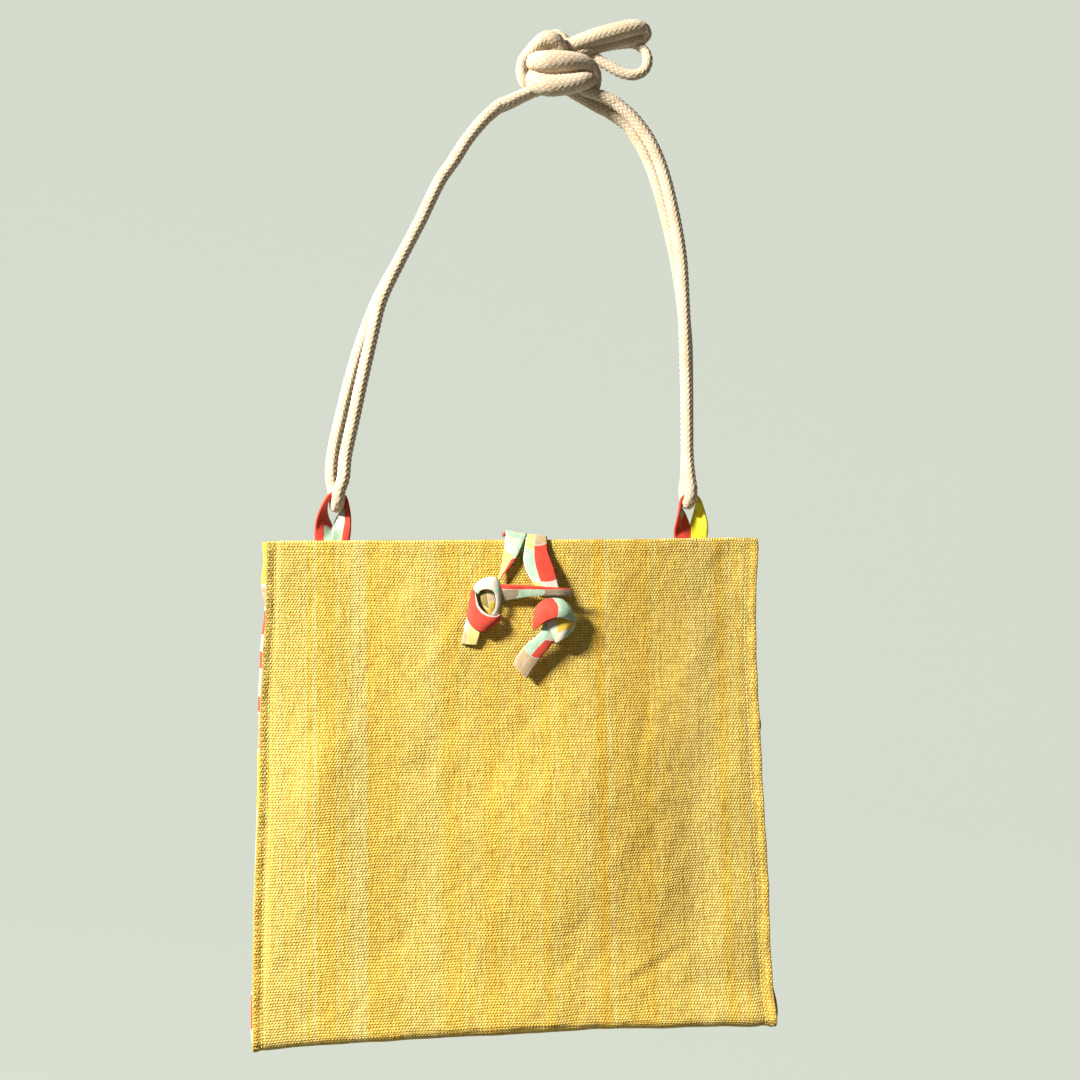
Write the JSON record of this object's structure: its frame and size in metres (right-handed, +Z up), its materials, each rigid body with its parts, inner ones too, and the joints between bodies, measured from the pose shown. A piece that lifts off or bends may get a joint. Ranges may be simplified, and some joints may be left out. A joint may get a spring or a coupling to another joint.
{
  "type": "shoulder bag",
  "caption": "Flat upright shoulder bag in striped woven cloth with print-cloth side gussets, loop tabs and tie closure, hung on a knotted doubled rope strap.",
  "frame": {"origin": "the underside of the strap just below its knot, where the strap lies on a shoulder or a hook; the bag hangs below it", "axes": "+Z up along the hanging strap, +X to the right as the front is seen, +Y from the front to the back"},
  "size_m": [0.3647, 0.0684, 0.7128],
  "materials": {
    "woven_cloth": "coarse plain weave with vertical stripes, matte",
    "print_cloth": "smooth printed cotton, matte",
    "rope": "braided cotton cord, matte"
  },
  "bodies": {
    "root": {"woven_body": "woven_cloth", "gusset_left": "print_cloth", "gusset_right": "print_cloth", "tab_left": "print_cloth", "tab_right": "print_cloth", "tie_left": "print_cloth", "tie_right": "print_cloth", "strap_left": "rope", "strap_right": "rope", "strap_knot": "rope"}
  },
  "joints": []
}
